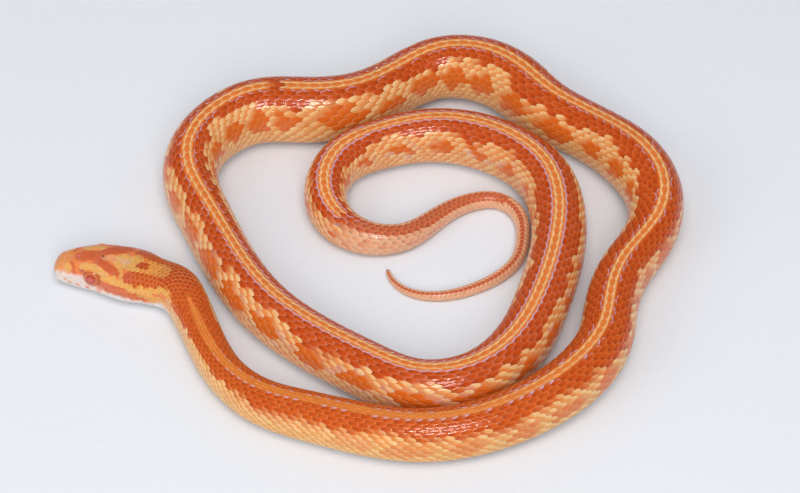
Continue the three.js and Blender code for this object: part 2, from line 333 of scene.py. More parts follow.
@dataclass
class Form:
    """Outer surface of the whole animal, as stations and turns round the body.

    A turn is 0 on the ridge of the back, 1 on the middle of the belly and counts the share of the
    way round in between; turns up to 1 are on the animal's left and those from 1 to 2 on its right.
    """

    spine: Spine
    head_side: float = 2.5
    head_upper: float = 2.7
    head_lower: float = 2.6
    body_side: float = 2.4
    body_upper: float = 2.1
    body_lower: float = 2.8
    widest_level: float = 0.47
    body_tallness: float = 0.95
    nape_tallness: float = 0.77
    head_end: float = 20.4
    nape_end: float = 28.0
    snout_round: float = 0.95
    snout_level: float = 3.0
    belly_press: float = 0.05
    ring_points: int = 129
    stations: np.ndarray = field(init=False)
    across: np.ndarray = field(init=False)
    height: np.ndarray = field(init=False)
    half_girth: np.ndarray = field(init=False)
    places: np.ndarray = field(init=False)
    normals: np.ndarray = field(init=False)

    def __post_init__(self) -> None:
        """Tabulate the sections at even shares of the way round, with their normals."""
        last = self.spine.length - 0.15
        self.stations = np.concatenate([np.arange(0, 26, 0.1), np.arange(26, last, 0.4), [last]])
        s = self.stations[:, None]
        to_body = smooth(17.5, 23, s)
        half_width = np.where(
            s < self.head_end, NaturalSpline(HEAD_HALF_WIDTH)(s), NaturalSpline(GIRTH)(s)
        )
        tallness = self.nape_tallness + (self.body_tallness - self.nape_tallness) * smooth(
            self.head_end, self.nape_end, s
        )
        body_top = 2 * NaturalSpline(GIRTH)(np.maximum(s, self.head_end)) * tallness
        top = (1 - to_body) * NaturalSpline(HEAD_TOP)(s) + to_body * body_top
        under = np.where(s < 8, np.maximum(0, NaturalSpline(HEAD_UNDERSIDE)(s)), 0)
        middle = under + self.widest_level * (top - under)
        side = self.head_side + (self.body_side - self.head_side) * to_body
        upper = self.head_upper + (self.body_upper - self.head_upper) * to_body
        lower = self.head_lower + (self.body_lower - self.head_lower) * to_body
        angle = np.linspace(math.pi / 2, -math.pi / 2, 361)[None, :]
        cosine = np.clip(np.cos(angle), 0, 1)
        sine = np.abs(np.sin(angle))
        across = half_width * cosine ** (2 / side)
        above = middle + (top - middle) * sine ** (2 / upper)
        depth = (middle - under) * sine ** (2 / lower)
        press = self.belly_press * (middle - under)
        below = under + np.maximum(0, middle - depth - under - press) / (1 - self.belly_press)
        height = np.where(angle > 0, above, below)
        ahead = np.clip(s / self.snout_round, 0, 1)
        dome = np.sqrt(np.clip(1 - (1 - ahead) ** 2, 0, 1))
        across = across * dome
        height = self.snout_level + (height - self.snout_level) * dome
        steps = np.hypot(np.diff(across, axis=1), np.diff(height, axis=1))
        run = np.concatenate([np.zeros((len(s), 1)), np.cumsum(steps, axis=1)], axis=1)
        self.half_girth = run[:, -1]
        share = np.linspace(0, 1, self.ring_points)
        self.across = np.empty((len(s), self.ring_points))
        self.height = np.empty((len(s), self.ring_points))
        for i in range(len(s)):
            reach = share * max(run[i, -1], 1e-9)
            self.across[i] = np.interp(reach, run[i], across[i])
            self.height[i] = np.interp(reach, run[i], height[i])
        place, left = self.spine.at(self.stations)
        self.places = np.empty((2, len(s), self.ring_points, 3))
        for which, sign in enumerate((1, -1)):
            self.places[which, :, :, :2] = (
                place[:, None, :] + sign * self.across[:, :, None] * left[:, None, :]
            )
            self.places[which, :, :, 2] = self.height
        self.normals = np.empty_like(self.places)
        for which, sign in enumerate((1, -1)):
            along = np.gradient(self.places[which], self.stations, axis=0)
            round_ = np.gradient(self.places[which], axis=1)
            normal = sign * np.cross(round_, along)
            length = np.linalg.norm(normal, axis=-1, keepdims=True)
            self.normals[which] = normal / np.maximum(length, 1e-9)

    def look_up(self, table: np.ndarray, station: np.ndarray, turn: np.ndarray) -> np.ndarray:
        """Read a table of both sides at any stations and turns, blending between its entries.

        Args:
            table: Array of side, station, share of the way round and value.
            station: Distances back from the snout tip.
            turn: Turns from 0 to 2.

        Returns:
            The blended values.
        """
        station, turn = np.broadcast_arrays(station, turn)
        turn = np.mod(turn, 2.0)
        which = (turn > 1).astype(int)
        share = np.where(which == 1, 2 - turn, turn) * (self.ring_points - 1)
        row = np.interp(station, self.stations, np.arange(len(self.stations)))
        i = np.clip(row.astype(int), 0, len(self.stations) - 2)
        j = np.clip(share.astype(int), 0, self.ring_points - 2)
        u = (row - i)[..., None]
        v = (share - j)[..., None]
        near = table[which, i, j] * (1 - v) + table[which, i, j + 1] * v
        far = table[which, i + 1, j] * (1 - v) + table[which, i + 1, j + 1] * v
        return near * (1 - u) + far * u

    def surface(self, station: np.ndarray, turn: np.ndarray) -> tuple[np.ndarray, np.ndarray]:
        """Places and outward unit normals on the outer surface, in millimetres."""
        place = self.look_up(self.places, station, turn)
        normal = self.look_up(self.normals, station, turn)
        length = np.linalg.norm(normal, axis=-1, keepdims=True)
        return place, normal / np.maximum(length, 1e-9)

    def girth_at(self, station: np.ndarray) -> np.ndarray:
        """Length of the way from the ridge of the back to the middle of the belly."""
        return np.interp(station, self.stations, self.half_girth)


# Share of the way from belly to ridge that the belly plates take, and rows from them to the ridge
BELLY_SHARE = 0.255
ROWS_TO_BELLY = 12.5

# Distance from one scale to the next in its row: (station, millimetres)
PITCH = (
    (12, 0.85), (20, 0.95), (34, 1.3), (60, 1.75), (100, 2.15), (150, 2.35), (470, 2.35),
    (505, 2.2), (525, 1.9), (546, 1.35), (575, 1.1), (615, 0.85),
)


def pitch_at(station: np.ndarray) -> np.ndarray:
    """Distance along the body from one scale to the next in its row."""
    return read_table(station, PITCH)


# Twist of the resting body: (station, rows that the stripe stands left of the ridge)
ROLL = (
    (20, 0.2), (30, 0.7), (45, 0.6), (55, 0), (70, -0.4), (110, -0.3), (150, -0.3), (160, 0),
    (168, 0.9), (178, 1.6), (184, 1.3), (192, 0.6), (205, 0.4), (220, 0.5), (232, 0.1), (245, 0),
    (270, -0.1), (290, 0.2), (300, 0.8), (310, 0.4), (320, -0.4), (332, -1.1), (345, -1.1),
    (380, -0.9), (395, -0.7), (410, -0.4), (425, -0.1), (440, -0.4), (450, 0), (470, 0),
    (480, 0.4), (492, 0.1), (500, 0.1), (510, 0.5), (520, 0.3), (535, 0.4), (545, 1.6), (570, 2.0),
    (583, 0), (592, -1.8), (612, -1.8),
)


def roll_at(station: np.ndarray) -> np.ndarray:
    """Rows by which the body is rolled on its side, smoothed over a few millimetres."""
    shifts = (-6, -3, 0, 3, 6)
    return sum(read_table(np.asarray(station) + shift, ROLL) for shift in shifts) / len(shifts)


def head_roll(station: np.ndarray) -> np.ndarray:
    """Millimetres by which the crown's midline leans to the animal's left."""
    return 0.5 * smooth(0.5, 5, station)


def roll_share(station: np.ndarray) -> np.ndarray:
    """The roll as a share of the way from the ridge to the belly."""
    return roll_at(station) / ROWS_TO_BELLY * (1 - BELLY_SHARE) * smooth(20, 30, station)


def coat_depth(station: np.ndarray) -> np.ndarray:
    """Depth of the skin under the outer surface: the thickness that the scales take."""
    thickness = np.clip(pitch_at(station) / 2.2, 0.4, 1)
    return 0.05 + 0.17 * thickness * smooth(12, 16.5, station)


def ridge_offset(turn: np.ndarray, station: np.ndarray, form: Form) -> np.ndarray:
    """Distance round the body from the ridge of the back, positive on the animal's left."""
    return signed_turn(turn) * form.girth_at(station)


def spaced_stations(start: float, end: float) -> np.ndarray:
    """Stations one scale apart, from the start to the first one past the end."""
    stations = [start]
    while stations[-1] < end:
        stations.append(stations[-1] + float(pitch_at(np.array(stations[-1]))))
    return np.array(stations)


def plate_rim(across: np.ndarray, along: np.ndarray, start: float, full: float) -> np.ndarray:
    """Weight of the free edge of a plate, from none at the start to all at the full reach."""
    outmost = np.maximum(np.abs(across), (along - 0.5) / 0.5)
    return smooth(start, full, outmost) * smooth(0.2, 0.45, along)


@dataclass
class Markings:
    """Where each colour of the striped coat lies, as weights from 0 to 1 for each palette colour.

    The colours are laid over the red-orange of the bands in the order of the names. Tables give a
    value by station. A stroke is a chain of (station, distance from the midline), a half-width and
    a strength; a lip dot is a station, a height and a half-width.
    """

    names: tuple = ("orange", "tan", "yellow", "cream_and_crown_highlight", "blotch", "lavender", "pale", "deep")
    plate_half: float = 0.62
    stripe_start: float = 31.0
    stripe_end: float = 529.5
    stripe_break: float = 280.2
    stripe_half_rows: tuple = (
        (31, 0.3), (36, 0.9), (45, 1.05), (100, 0.95), (150, 1.05), (200, 1.2), (300, 1.2),
        (340, 1.5), (380, 1.65),
    )
    band_edge_rows: tuple = (
        (30, 4.6), (44, 4.7), (60, 5.4), (140, 5.5), (200, 4.6), (250, 3.9), (300, 3.7),
        (325, 3.6), (345, 4.1), (370, 5.0), (420, 4.6), (520, 4.3),
    )
    ochre_share: tuple = ((70, 1.0), (190, 0.65), (280, 0.6), (340, 0.2), (420, 0.1))
    blotch_gap: float = 9.6
    blotch_half_length: float = 3.5
    blotch_half_rows: float = 1.8
    blotch_below_edge: float = 3.0
    blotch_size: tuple = (
        (60, 0.9), (110, 0.95), (190, 1.05), (380, 1.05), (430, 0.72), (520, 0.62),
    )
    tail_chain_rows: float = 3.0
    tail_line_row: float = 6.4
    lip_line: tuple = (
        (0, 2.0), (3.2, 3.9), (6.4, 5.0), (8.8, 6.8), (10.2, 8.3), (20, 8.8), (26, 7.7), (32, 6.6),
    )
    lip_dots: tuple = ((2.7, 2.8, 0.3), (3.7, 2.35, 0.42), (5.5, 2.3, 0.4), (7.9, 2.3, 0.5))
    red_strokes: tuple = (
        (((5.9, 0.0), (9.5, 0.0), (9.9, 0.8)), 1.3, 0.62),
        (((10.4, 1.6), (12.4, 2.4), (14.2, 3.2)), 0.95, 0.7),
        (((17.0, 3.7), (18.8, 3.5), (22, 2.7), (31, 1.3)), 1.5, 0.85),
        (((25.0, 0.0), (33, 0.0)), 2.6, 1.0),
        (((4.1, 1.4), (4.9, 2.8), (4.8, 3.8)), 0.3, 0.65),
        (((6.2, 2.9), (6.9, 3.6)), 0.45, 0.75),
        (((18.1, 0.0), (19.2, 0.0)), 0.8, 1.0),
        (((10.8, 6.7), (14.4, 6.8), (17, 7.0), (20, 7.2)), 1.1, 0.55),
    )
    gold_strokes: tuple = (
        (((6.6, 2.5), (9.6, 2.9), (12.3, 4.4)), 0.8, 0.95),
        (((12.3, 4.6), (16, 5.0), (19, 5.7), (22, 5.1), (29, 3.4)), 0.68, 0.95),
        (((14.2, 0.7), (17.4, 0.8)), 1.2, 0.95),
        (((20.0, 6.6), (23.5, 6.4)), 0.6, 0.7),
        (((23.0, 7.0), (27.0, 6.6), (33, 6.4)), 0.9, 0.75),
        (((3.1, 2.2), (3.5, 2.7)), 0.75, 0.9),
        (((19.6, 1.0), (24, 0.6)), 0.8, 0.5),
        (((1.1, 1.3), (1.2, 1.9)), 0.5, 0.5),
    )

    def blank(self, shape: tuple) -> dict[str, np.ndarray]:
        """A weight of nought for every colour."""
        return {name: np.zeros(shape) for name in self.names}

    def join(self, head: dict, body: dict, to_body: np.ndarray) -> dict[str, np.ndarray]:
        """Weights that go over from the head's to the body's by a share from 0 to 1."""
        return {name: mix(head[name], body[name], to_body) for name in self.names}

    def body(
        self, station: np.ndarray, row: np.ndarray, across: np.ndarray, along: np.ndarray,
        wobble: np.ndarray,
    ) -> dict[str, np.ndarray]:
        """Weights for the neck, trunk and tail.

        Args:
            station: Distance back from the snout tip of the scale's middle.
            row: Rows from the ridge of the back, positive on the left.
            across: Place across the scale, from -1 to 1 towards the animal's left.
            along: Place along the scale, from its root at 0 to its tip at 1.
            wobble: A steady random number for each scale.

        Returns:
            Weights by colour name.
        """
        out = self.blank(np.shape(station))

        def raise_to(name: str, weight: np.ndarray) -> None:
            """Raise a colour's weight to at least this one."""
            out[name] = np.maximum(out[name], weight)

        far = np.abs(row)
        side = np.sign(row)
        outward = across * side
        reach = np.abs(row + self.plate_half * across)
        rim = plate_rim(across, along, 0.7, 1.0)
        fore = smooth(150, 70, station)
        tail = smooth(527, 537, station + 5 * (wobble - 0.5))
        lateral = far + 1.1 * (wobble - 0.5)
        other = hashed(station, row, row * 0 + 7)
        # bands: each scale has a paler edge, and painted shade darkens its root where it tucks under
        # the scale ahead
        out["orange"] = 0.14 * other + (0.75 - 0.2 * smooth(120, 260, station)) * rim
        out["orange"] = out["orange"] + 0.12 * smooth(150, 90, station)
        out["deep"] = 0.34 * smooth(0.62, 0.3, along)
        out["lavender"] = rim * (0.03 + 0.09 * smooth(150, 360, station)) * (0.3 + 1.2 * other)
        # flank: tan scales with paler edges and orange streaks, ochre towards the head
        edge = read_table(station, self.band_edge_rows)
        edge = edge + 1.3 * (side < 0) * smooth(80, 60, station)
        wavy = edge + 0.5 * np.sin(station / 5.3 + side) + 0.35 * np.sin(station / 2.3 - side)
        soft = fore * smooth(40, 70, station)
        flank = smooth(wavy - 0.15 - 0.9 * soft, wavy + 0.15 + 1.5 * soft, lateral)
        raise_to("orange", flank)
        slant = 3.6 * (along - 0.68) - outward + (wobble - 0.5)
        streak = smooth(0.3, -0.4, slant)
        out["tan"] = flank * (0.8 + 0.2 * other - (0.35 + 0.45 * wobble) * streak)
        ochre = read_table(station, self.ochre_share)
        out["yellow"] = flank * ochre * (0.2 + 0.5 * smooth(6.5, 8.5, far))
        neck_line = np.exp(-(((lateral - edge - 0.5) / 0.9) ** 2)) * smooth(68, 50, station)
        raise_to("yellow", 0.85 * neck_line * flank)
        out["cream_and_crown_highlight"] = flank * (0.32 + 0.35 * other + 0.3 * rim) * (1 - 0.95 * streak)
        out["lavender"] = out["lavender"] * (1 - 0.8 * flank)
        # less painted root shade on the flank
        out["deep"] = out["deep"] * (1 - 0.65 * flank)
        # row of red-orange blotches along the flank
        phase = (station + 1.6 * np.sin(station / 23) + 2.4 * side) / self.blotch_gap
        number = np.floor(phase)
        centre = (phase - number - 0.5) * self.blotch_gap
        size = read_table(station, self.blotch_size) * (0.82 + 0.34 * hashed(number, side))
        level = (lateral - edge - self.blotch_below_edge) / (self.blotch_half_rows * size)
        spot = (centre / (self.blotch_half_length * size)) ** 2 + level**2
        spot = spot + 0.5 * (other - 0.5)
        out["blotch"] = smooth(1.15, 0.9, spot) * smooth(62, 90, station) * (1 - 0.3 * rim)
        out["blotch"] = out["blotch"] * (1 - 0.55 * fore)
        halo = np.exp(-(((spot - 1.45) / 0.3) ** 2)) * smooth(300, 380, station)
        raise_to("lavender", 0.5 * halo * np.maximum(rim, 0.55 * streak))
        # belly edge
        out["pale"] = 0.75 * smooth(12.0, 13.0, far) + 0.2 * smooth(11.2, 12.2, lateral) * rim
        # stripe: a chain of orange scales between pale lines, with lavender at its edges
        broken = smooth(1.0, 1.7, np.abs(station - self.stripe_break))
        on_stripe = (far < 1.5) * smooth(self.stripe_start, self.stripe_start + 2, station)
        on_stripe = on_stripe * (station < self.stripe_end) * broken
        half = read_table(station, self.stripe_half_rows)
        on_stripe = on_stripe * smooth(half + 0.12, half - 0.12, reach)
        inner = smooth(0.05, -0.3, outward) * (far > 0.5) + (far < 0.5) * (0.05 + 0.45 * rim)
        vein = smooth(0.75, 0.25, np.abs(across))
        raise_to("orange", on_stripe * (0.95 - 0.15 * other - 0.3 * fore * (1 - vein)))
        raise_to("cream_and_crown_highlight", on_stripe * inner * (0.8 - 0.75 * fore))
        raise_to("yellow", (0.45 * vein - 0.1 * other) * on_stripe * fore)
        shifted = outward + 0.35 * smooth(140, 105, station)
        outline = smooth(0.45, 0.75, shifted) * smooth(1.3, 1.1, shifted) * (far > 0.5) * (far < 1.5)
        next_row = (far > 1.5) * (far < 2.5) * smooth(-0.65, -0.9, outward) * (1 - fore)
        dashes = smooth(0.55, 0.75, along) * (other > 0.35) + smooth(325, 360, station)
        outline = np.maximum(outline, next_row) * smooth(40, 60, station)
        outline = outline * np.minimum(dashes, 1) * broken
        out["lavender"] = np.where(on_stripe > 0.5, 0, out["lavender"])
        # less painted root shade on the stripe
        out["deep"] = out["deep"] * (1 - 0.75 * on_stripe)
        out["lavender"] = np.maximum(out["lavender"], outline) * (1 - tail)
        # tail: a chain of red scales between lighter sides
        chain_edge = far + 0.9 * (wobble - 0.5)
        chain = smooth(self.tail_chain_rows + 0.3, self.tail_chain_rows - 0.3, chain_edge)
        line = np.exp(-(((far - self.tail_line_row) / 0.9) ** 2)) * smooth(575, 550, station)
        out["orange"] = mix(out["orange"], 1 - 0.9 * chain * (1 - 0.7 * rim), tail)
        out["tan"] = mix(out["tan"], (1 - chain) * (0.25 + 0.3 * other), tail)
        out["cream_and_crown_highlight"] = mix(out["cream_and_crown_highlight"], (0.15 + 0.35 * rim) * (1 - 0.75 * chain), tail)
        raise_to("pale", tail * (0.18 + 0.28 * rim) * (1 - 0.75 * chain))
        out["blotch"] = mix(out["blotch"], 0.7 * line * (other > 0.3) * (1 - chain), tail)
        return out

    def head(
        self, station: np.ndarray, offset: np.ndarray, height: np.ndarray
    ) -> dict[str, np.ndarray]:
        """Weights for the head shields, jaw and nape.

        Args:
            station: Distance back from the snout tip.
            offset: Distance round the head from its midline, in either direction.
            height: Height above the ground.

        Returns:
            Weights by colour name.
        """
        out = self.blank(np.shape(station))
        wave = 0.14 * np.sin(station * 3.1 + offset * 1.7) + 0.1 * np.sin(offset * 5.3 - station)
        leaning = offset - head_roll(station)
        aside = np.abs(leaning) + wave
        # figures of the right half stand a little further out
        aside = aside - 0.7 * smooth(-1.5, -3.5, leaning) * smooth(9.8, 11.2, station)
        aside = aside - 1.3 * smooth(-3.2, -5.2, leaning) * smooth(10, 12, station)
        back = station + wave

        def stroke(points: tuple, width: float, soft: float = 0.16) -> np.ndarray:
            """Weight of a painted stroke of that half-width."""
            return smooth(width + soft, width - soft, distance_to_line(back, aside, points))

        def strongest(strokes: tuple) -> np.ndarray:
            """Weight of the strongest of the strokes at each place."""
            return np.max([share * stroke(points, width) for points, width, share in strokes], 0)

        red = strongest(self.red_strokes)
        out["orange"] = 1 - red
        gold = strongest(self.gold_strokes)
        hidden = smooth(-1.5, -2.5, leaning) * smooth(9.6, 10.4, station) * (station < 14)
        link = stroke(((15.2, 1.6), (15.5, 4.4)), 0.3) * (leaning > 0)
        gold = np.maximum(gold * (1 - hidden), 0.7 * link)
        nape_spot = stroke(((18.1, 0.0), (19.2, 0.0)), 0.75)
        snout = 0.3 * smooth(6, 2, station) * (1 - red)
        out["yellow"] = np.maximum(gold * (1 - nape_spot), snout)
        out["lavender"] = 0.25 * stroke(((14.4, 0.0), (15.6, 0.3)), 0.5, 0.4)
        out["lavender"] = out["lavender"] + 0.05 * smooth(20, 16, station)
        out["tan"] = 0.2 * smooth(7, 3, station) * (1 - red)
        # painted highlight: a pale streak along the parietal shields, where they glint
        out["cream_and_crown_highlight"] = 0.35 * stroke(((10.8, 0.2), (12.8, 0.5)), 0.5, 0.3)
        # a dark speck on the crown, behind the frontal shield
        out["deep"] = 0.8 * smooth(0.4, 0.15, np.hypot(station - 10.35, offset - 0.25))
        jaw = smooth(2.2, 1.5, height)
        share = 0.8 + 0.18 * np.maximum(jaw, station > 11)
        lip = read_table(station, self.lip_line)
        out["pale"] = share * smooth(-0.5, 0.7, np.abs(offset) + wave - lip)
        for place, level, size in self.lip_dots:
            dot = smooth(size + 0.15, size - 0.15, np.hypot(station - place, height - level))
            out["orange"] = np.maximum(out["orange"], dot)
            out["pale"] = out["pale"] * (1 - 0.8 * dot)
        return out


@dataclass(frozen=True)
class Palette:
    """Colours of a red-orange corn snake without dark pigment."""

    band: str = "BE4408"
    orange: str = "E5772A"
    tan: str = "DC9E66"
    yellow: str = "E2A44E"
    # cream of the flank and stripe, also used for a painted highlight on the crown
    cream_and_crown_highlight: str = "EFC88C"
    blotch: str = "D6641A"
    lavender: str = "C2B6CE"
    pale: str = "E2DAD4"
    # the darkest colour: painted shade at the scale roots, and a dark speck on the crown
    deep: str = "5E1C0C"


PALETTE = Palette()


def add_node(
    tree: bpy.types.NodeTree, kind: str, settings: dict | None = None, inputs: dict | None = None
) -> bpy.types.Node:
    """Add a node with its settings, values and links.

    Args:
        tree: Node tree that gets the node.
        kind: The node's type name.
        settings: Properties to set on the node.
        inputs: For each input, a value to set or a socket to link from.

    Returns:
        The new node.
    """
    node = tree.nodes.new(kind)
    for name, value in (settings or {}).items():
        setattr(node, name, value)
    for key, value in (inputs or {}).items():
        if isinstance(value, bpy.types.NodeSocket):
            tree.links.new(value, node.inputs[key])
        else:
            node.inputs[key].default_value = value
    return node


def new_material(name: str) -> tuple[bpy.types.Material, bpy.types.NodeTree]:
    """Make a material with an empty node tree."""
    material = bpy.data.materials.new(name)
    material.use_nodes = True
    material.node_tree.nodes.clear()
    return material, material.node_tree


@dataclass(frozen=True)
class ScaleFinish:
    """Keratin: thin, hard, translucent plates, grown smooth, that give each scale a satin glint."""

    name: str
    roughness: float = 0.17
    smoother: float = 0.03
    rougher: float = 0.06
    ior: float = 1.54
    specular: float = 0.5
    flesh: float = 0.03
    flesh_depth_mm: float = 0.4
    flesh_tint: tuple = (1.0, 0.35, 0.2)
    mottle_mm: float = 0.9
    mottle_strength: float = 0.07
    striae_mm: float = 0.16
    striae_depth_mm: float = 0.02
    bump: float = 0.12
    markings: Markings = field(default_factory=Markings)
    palette: Palette = PALETTE

    def build(self) -> bpy.types.Material:
        """Make the material: palette colours laid on by the markings, then mottling and relief."""
        material, tree = new_material(self.name)
        weights = []
        for title in ("marks_front", "marks_back"):
            source = add_node(tree, "ShaderNodeAttribute", {"attribute_name": title})
            parts = add_node(tree, "ShaderNodeSeparateColor", None, {0: source.outputs["Color"]})
            weights += [*parts.outputs[:3], source.outputs["Alpha"]]
        colour = linear(self.palette.band)
        for name, weight in zip(self.markings.names, weights):
            laid_on = {0: weight, 6: colour, 7: linear(getattr(self.palette, name))}
            colour = add_node(tree, "ShaderNodeMix", {"data_type": "RGBA"}, laid_on).outputs[2]
        place = add_node(tree, "ShaderNodeTexCoord")
        mottle = add_node(tree, "ShaderNodeTexNoise", None, {
            "Vector": place.outputs["Object"], "Scale": 1 / (self.mottle_mm * MM), "Detail": 2.0,
        })
        # values 1 to 4 of a map range are its limits: from, to, then the new from, to
        tone = add_node(tree, "ShaderNodeMapRange", None, {
            "Value": mottle.outputs[0], 1: 0.3, 2: 0.7,
            3: 1 - self.mottle_strength, 4: 1 + self.mottle_strength,
        })
        gloss = add_node(tree, "ShaderNodeMapRange", None, {
            "Value": mottle.outputs[0], 1: 0.3, 2: 0.7,
            3: self.roughness - self.smoother, 4: self.roughness + self.rougher,
        })
        varied = add_node(
            tree, "ShaderNodeHueSaturation", None, {"Value": tone.outputs[0], "Color": colour}
        )
        lie = add_node(tree, "ShaderNodeUVMap", {"uv_map": "Lie"})
        striae = add_node(tree, "ShaderNodeTexWave", {"bands_direction": "X"}, {
            "Vector": lie.outputs[0], "Scale": 1.1 / self.striae_mm, "Distortion": 1.5,
        })
        relief = add_node(tree, "ShaderNodeBump", None, {
            "Strength": self.bump, "Distance": self.striae_depth_mm * MM,
            "Height": striae.outputs[0],
        })
        shader = add_node(tree, "ShaderNodeBsdfPrincipled", None, {
            "Base Color": varied.outputs[0], "Roughness": gloss.outputs[0], "IOR": self.ior,
            "Specular IOR Level": self.specular, "Subsurface Weight": self.flesh,
            "Subsurface Radius": self.flesh_tint, "Subsurface Scale": self.flesh_depth_mm * MM,
            "Normal": relief.outputs[0],
        })
        add_node(tree, "ShaderNodeOutputMaterial", None, {"Surface": shader.outputs[0]})
        return material


@dataclass(frozen=True)
class EyeFinish:
    """Clear spectacle scale over a wet eye: a mirror-smooth skin with a red-orange iris beneath."""

    name: str = "clear_spectacle_over_red_eye"
    pupil: str = "C4564A"
    pupil_rim: str = "9A3226"
    iris: str = "CC6C36"
    iris_edge: str = "B8602E"
    socket: str = "B0603A"
    roughness: float = 0.06
    under_roughness: float = 0.35
    ior: float = 1.4
    cover_ior: float = 1.5
    fleck_scale: float = 22.0
    fleck_reach: float = 0.035

    def build(self) -> bpy.types.Material:
        """Make the material from the angle away from the eye's axis, kept in the Lie map."""
        material, tree = new_material(self.name)
        lie = add_node(tree, "ShaderNodeUVMap", {"uv_map": "Lie"})
        parts = add_node(tree, "ShaderNodeSeparateXYZ", None, {0: lie.outputs[0]})
        flecks = add_node(tree, "ShaderNodeTexNoise", None, {
            "Vector": lie.outputs[0], "Scale": self.fleck_scale, "Detail": 3.0,
        })
        ragged = add_node(tree, "ShaderNodeMath", {"operation": "MULTIPLY_ADD"}, {
            0: flecks.outputs[0], 1: self.fleck_reach, 2: parts.outputs[1],
        })
        ramp = add_node(tree, "ShaderNodeValToRGB", None, {0: ragged.outputs[0]})
        # each colour with its share of the way from the front of the eye to its back
        stops = (
            (0.0, self.pupil), (0.1, self.pupil), (0.15, self.pupil_rim), (0.19, self.iris),
            (0.3, self.iris_edge), (0.37, self.socket),
        )
        elements = ramp.color_ramp.elements
        while len(elements) < len(stops):
            elements.new(1.0)
        for element, (position, colour) in zip(elements, stops):
            element.position = position
            element.color = linear(colour)
        shader = add_node(tree, "ShaderNodeBsdfPrincipled", None, {
            "Base Color": ramp.outputs[0], "Roughness": self.under_roughness, "IOR": self.ior,
            "Coat Weight": 1.0, "Coat Roughness": self.roughness, "Coat IOR": self.cover_ior,
        })
        add_node(tree, "ShaderNodeOutputMaterial", None, {"Surface": shader.outputs[0]})
        return material


@dataclass(frozen=True)
class FloorFinish:
    """Matt white paper, a plain pale ground that takes a soft shadow."""

    name: str = "matt_paper_floor"
    colour: str = "E6E8EC"
    shade: str = "E0E3E8"
    tooth_mm: float = 1.2
    tooth_depth_mm: float = 0.05
    tooth_strength: float = 0.3
    roughness: float = 0.9

    def build(self) -> bpy.types.Material:
        """Make the material, with a faint tooth of paper."""
        material, tree = new_material(self.name)
        place = add_node(tree, "ShaderNodeTexCoord")
        tooth = add_node(tree, "ShaderNodeTexNoise", None, {
            "Vector": place.outputs["Object"], "Scale": 1 / (self.tooth_mm * MM), "Detail": 3.0,
        })
        tone = add_node(tree, "ShaderNodeMix", {"data_type": "RGBA"}, {
            0: tooth.outputs[0], 6: linear(self.colour), 7: linear(self.shade),
        })
        relief = add_node(tree, "ShaderNodeBump", None, {
            "Strength": self.tooth_strength, "Distance": self.tooth_depth_mm * MM,
            "Height": tooth.outputs[0],
        })
        shader = add_node(tree, "ShaderNodeBsdfPrincipled", None, {
            "Base Color": tone.outputs[2], "Roughness": self.roughness,
            "Normal": relief.outputs[0],
        })
        add_node(tree, "ShaderNodeOutputMaterial", None, {"Surface": shader.outputs[0]})
        return material


@dataclass
class MeshPiece:
    """A finished mesh object: its corners, faces, coat weights and maps."""

    name: str
    places: np.ndarray
    faces: np.ndarray
    lie: np.ndarray
    bake: np.ndarray
    weights: dict | None = None
    closing: list | None = None

    def build(self, material: bpy.types.Material, slot: str) -> bpy.types.Object:
        """Make the Blender object.

        Args:
            material: Finish of the piece.
            slot: The record's material slot; not used.

        Returns:
            The new object, riding on the body.
        """
        mesh = bpy.data.meshes.new(self.name)
        faces = self.faces.tolist() + (self.closing or [])
        mesh.from_pydata((self.places * MM).tolist(), [], faces)
        corner = np.empty(len(mesh.loops), int)
        mesh.loops.foreach_get("vertex_index", corner)
        for title, values in (("OFBake", self.bake), ("Lie", self.lie)):
            layer = mesh.uv_layers.new(name=title)
            per_corner = values if len(values) == len(corner) else values[corner]
            layer.data.foreach_set("uv", np.ascontiguousarray(per_corner, np.float32).ravel())
        if self.weights is not None:
            names = Markings().names
            for title, part in (("marks_front", names[:4]), ("marks_back", names[4:])):
                paint = np.stack([np.clip(self.weights[name], 0, 1) for name in part], -1)
                layer = mesh.color_attributes.new(title, "FLOAT_COLOR", "POINT")
                layer.data.foreach_set("color", np.ascontiguousarray(paint, np.float32).ravel())
        mesh.polygons.foreach_set("use_smooth", np.ones(len(mesh.polygons), bool))
        mesh.materials.append(material)
        mesh.validate()
        mesh.update()
        piece = bpy.data.objects.new(self.name, mesh)
        bpy.context.scene.collection.objects.link(piece)
        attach(piece, BODY)
        log.info("%s: %d faces", self.name, len(mesh.polygons))
        return piece


@dataclass
class Unwrap:
    """Flat layout of the whole skin in the unit square, as side-by-side strips of the body."""

    form: Form
    strips: int = 4
    margin: float = 0.01

    def strip_of(self, station: np.ndarray) -> np.ndarray:
        """Number of the strip that each station falls in."""
        length = self.form.spine.length / self.strips
        return np.clip((np.asarray(station) / length).astype(int), 0, self.strips - 1)

    def place(self, station: np.ndarray, turn: np.ndarray, strip: np.ndarray) -> np.ndarray:
        """Map place of each station and turn.

        Args:
            station: Distances back from the snout tip.
            turn: Turns, where the cut runs along the middle of the belly.
            strip: Number of the strip that the face lies in.

        Returns:
            Two map coordinates for each place.
        """
        length = self.form.spine.length / self.strips
        width = 1 / self.strips
        along = (station - strip * length) / length
        u = self.margin + (1 - 2 * self.margin) * along
        v = width * (strip + 0.5) + signed_turn(turn) * (0.5 * width - self.margin)
        return np.stack([u, v], -1)


